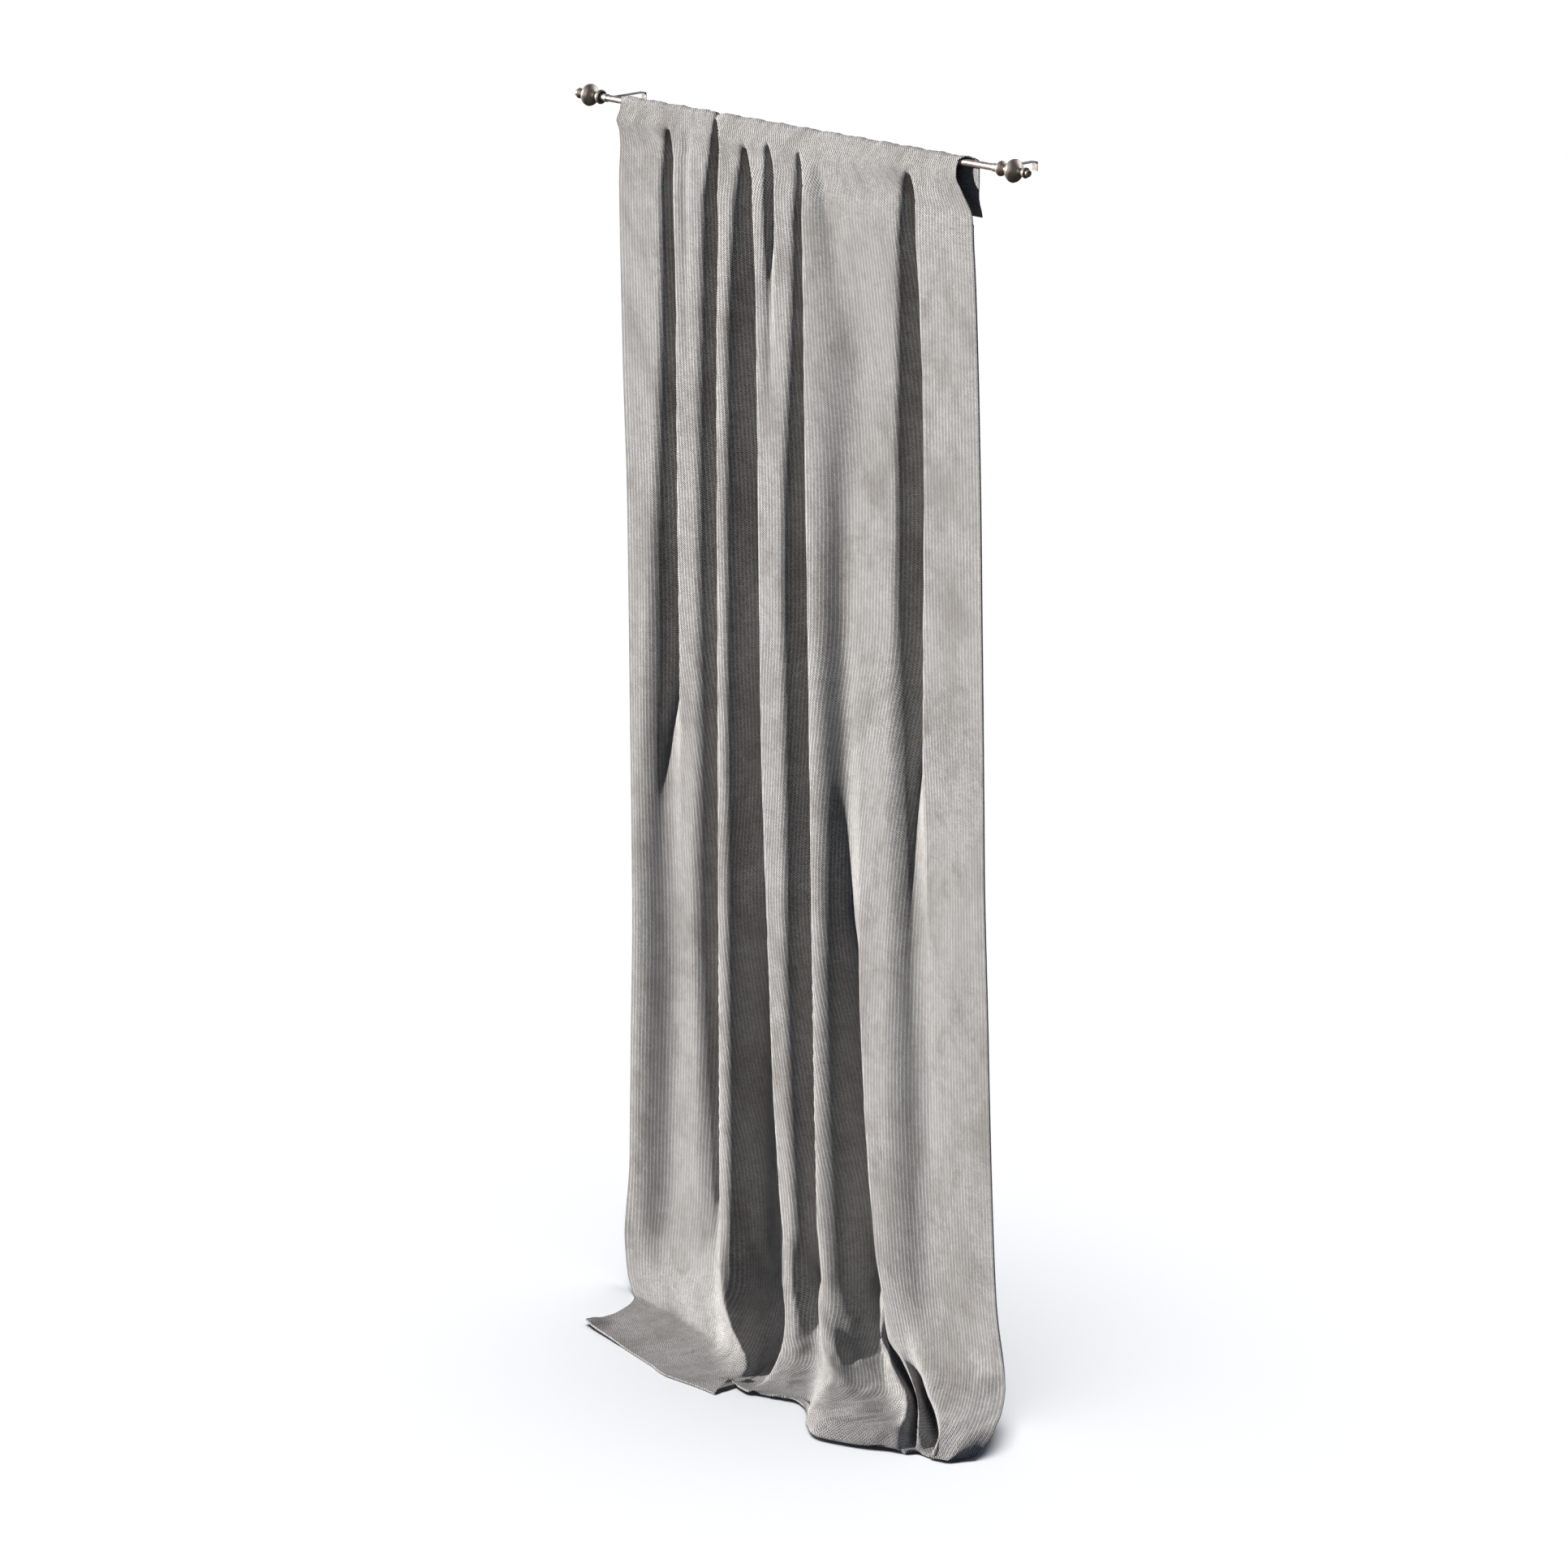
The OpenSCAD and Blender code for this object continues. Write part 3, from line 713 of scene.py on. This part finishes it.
def thread_material(name, light, dark):
    """Matt cotton thread, uneven in tone."""
    made, shader = material(name)
    fibre = made.node_tree.nodes.new("ShaderNodeTexCoord").outputs["Object"]
    tint = mix(made, mottle(made, fibre, 700, 3), dark, light)
    made.node_tree.links.new(tint, shader.inputs["Base Color"])
    shader.inputs["Roughness"].default_value = 0.8
    shader.inputs["Sheen Weight"].default_value = 0.1
    return made


cloth = knit_material("cloth", (0.47, 0.459, 0.446), (0.285, 0.267, 0.250), (0.075, 0.071, 0.069))
curtain.data.materials.append(cloth)
# the hems take the cloth's knit painted darker: painted shade on the cloth turned back behind the face
sewn = knit_material("hem_cloth", (0.385, 0.374, 0.36), (0.26, 0.245, 0.23), (0.075, 0.071, 0.069))
for piece in (left_hem, right_hem, bottom_hem):
    piece.data.materials.append(sewn)
    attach(piece, "curtain")
thread.data.materials.append(thread_material("thread", (0.42, 0.41, 0.395), (0.34, 0.33, 0.315)))

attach(thread, "curtain")
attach(curtain, "curtain")
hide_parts("rod_pocket", "curtain_panel")
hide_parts("side_hem_left")
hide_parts("side_hem_right")
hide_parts("bottom_hem")

# ---------------------------------------------------------------- the metals

EVEN = (1, 1, 1)
ALONG_X = (0.06, 1, 1)                         # brush marks along the rod
ALONG_Z = (1, 1, 0.06)                         # and up the bracket's plate


def metal_material(name, light, dark, roughness, brushed):
    """Old nickel: darker in patches and where it is recessed, brighter on worn edges."""
    made, shader = material(name)
    nodes = made.node_tree.nodes
    places = nodes.new("ShaderNodeTexCoord").outputs["Object"]
    patches = ramp(made, mottle(made, places, 85, 5, 0.65), 0.38, 0.66)
    worn = ramp(made, nodes.new("ShaderNodeNewGeometry").outputs["Pointiness"], 0.47, 0.56)
    share = calc(made, "MULTIPLY", calc(made, "SUBTRACT", 1.0, worn), patches)
    made.node_tree.links.new(mix(made, share, light, dark), shader.inputs["Base Color"])
    rough = calc(made, "ADD", roughness - 0.07, calc(made, "MULTIPLY", patches, 0.16))
    made.node_tree.links.new(rough, shader.inputs["Roughness"])
    bump(made, shader, mottle(made, places, 900, 3, 0.6, brushed), 0.00012, 0.35)
    shader.inputs["Metallic"].default_value = 0.70
    return made


METALS = {
    "rod": metal_material("rod_nickel", (0.30, 0.26, 0.23), (0.19, 0.165, 0.14), 0.40, ALONG_X),
    "finial": metal_material("finial_nickel", (0.31, 0.275, 0.24), (0.20, 0.175, 0.15), 0.42, EVEN),
    "band": metal_material("band_nickel", (0.34, 0.30, 0.26), (0.23, 0.20, 0.17), 0.38, EVEN),
    "bracket": metal_material("bracket_nickel", (0.32, 0.29, 0.26), (0.21, 0.19, 0.175), 0.42, ALONG_Z),
}
for name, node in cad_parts.items():
    kind = "band" if "band" in name else name.split("_")[0]
    node.data.materials.clear()
    node.data.materials.append(METALS.get(kind, METALS["rod"]))

# ---------------------------------------------------------------- the floor

bpy.ops.mesh.primitive_plane_add(size=160, location=(0, 0, FLOOR - 0.0005))
floor = bpy.context.object
floor.name = "floor"
paint, shader = material("pale_floor")
shader.inputs["Base Color"].default_value = (0.92, 0.92, 0.92, 1)
shader.inputs["Roughness"].default_value = 0.9
shader.inputs["Specular IOR Level"].default_value = 0.0
floor.data.materials.append(paint)
floor.visible_diffuse = False
floor.visible_glossy = False

# ---------------------------------------------------------------- lamps and sky


def direction(azimuth, elevation):
    """A unit vector from the object: azimuth 0 is towards the front and 90 towards the right."""
    a, e = math.radians(azimuth), math.radians(elevation)
    return Vector((math.sin(a) * math.cos(e), -math.cos(a) * math.cos(e), math.sin(e)))


def sun(name, azimuth, elevation, strength, colour, softness):
    """A distant lamp that shines from that azimuth and elevation."""
    data = bpy.data.lights.new(name, "SUN")
    data.energy, data.color, data.angle = strength, colour, math.radians(softness)
    lamp = place_object(name, data)
    lamp.rotation_mode = "QUATERNION"
    lamp.rotation_quaternion = direction(azimuth, elevation).to_track_quat("Z", "Y")
    return lamp


def only_for(lamp, *objects, leave_out=False):
    """The lamp lights only these objects, or all but these."""
    group = bpy.data.collections.new(lamp.name + "_lit")
    for o in objects:
        group.objects.link(o)
    lamp.light_linking.receiver_collection = group
    if leave_out:
        for item in group.collection_objects:
            item.light_linking.link_state = "EXCLUDE"


key = sun("key", -54, 13.5, 10.6, (1.0, 0.976, 0.953), 2.0)
only_for(key, floor, leave_out=True)
top = sun("floor_light", 0, 90, 3.3, (1, 1, 1), 50)
only_for(top, floor)
fill = sun("metal_fill", 20, 30, 1.5, (1.0, 0.90, 0.80), 70)
only_for(fill, *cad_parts.values())
rear = sun("back_light", 170, 22, 2.4, (0.96, 0.98, 1.0), 50)
only_for(rear, floor, leave_out=True)

# The sky's colour from straight down, 0, to straight up, 1: warm below and blue just above the horizon.
SKY_BANDS = ((0.0, (0.10, 0.085, 0.075)), (0.47, (0.12, 0.105, 0.095)), (0.50, (0.50, 0.59, 0.72)),
             (0.555, (0.53, 0.68, 0.92)), (0.62, (0.13, 0.19, 0.29)), (1.0, (0.11, 0.17, 0.28)))

world = bpy.data.worlds.new("studio")
bpy.context.scene.world = world
world.use_nodes = True
sky = world.node_tree.nodes["Background"]
looking = world.node_tree.nodes.new("ShaderNodeTexCoord").outputs["Generated"]
split = world.node_tree.nodes.new("ShaderNodeSeparateXYZ")
world.node_tree.links.new(looking, split.inputs["Vector"])
bands = world.node_tree.nodes.new("ShaderNodeValToRGB")
world.node_tree.links.new(calc(world, "MULTIPLY_ADD", split.outputs["Z"], 0.5, 0.5), bands.inputs["Fac"])
world.node_tree.links.new(bands.outputs["Color"], sky.inputs["Color"])
bands.color_ramp.elements.remove(bands.color_ramp.elements[1])
bands.color_ramp.elements[0].position = SKY_BANDS[0][0]
bands.color_ramp.elements[0].color = (*SKY_BANDS[0][1], 1)
for place, tint in SKY_BANDS[1:]:
    bands.color_ramp.elements.new(place).color = (*tint, 1)
sky.inputs["Strength"].default_value = 0.39

# ---------------------------------------------------------------- camera
# The photo's viewpoint, fitted to the rod, brackets, finials and hem in it.

VIEW_AZIMUTH, VIEW_ELEVATION = 45.7125, 16.759
camera = place_object("camera", bpy.data.cameras.new("camera"))
camera.data.sensor_width = 36.0
camera.data.lens = 126.69
camera.data.clip_end = 400
camera.location = (7.3518, -7.3007, 1.8269)
camera.rotation_mode = "QUATERNION"
camera.rotation_quaternion = (-direction(VIEW_AZIMUTH, VIEW_ELEVATION)).to_track_quat("-Z", "Y")
bpy.context.scene.camera = camera
bpy.context.scene.view_settings.view_transform = "Standard"
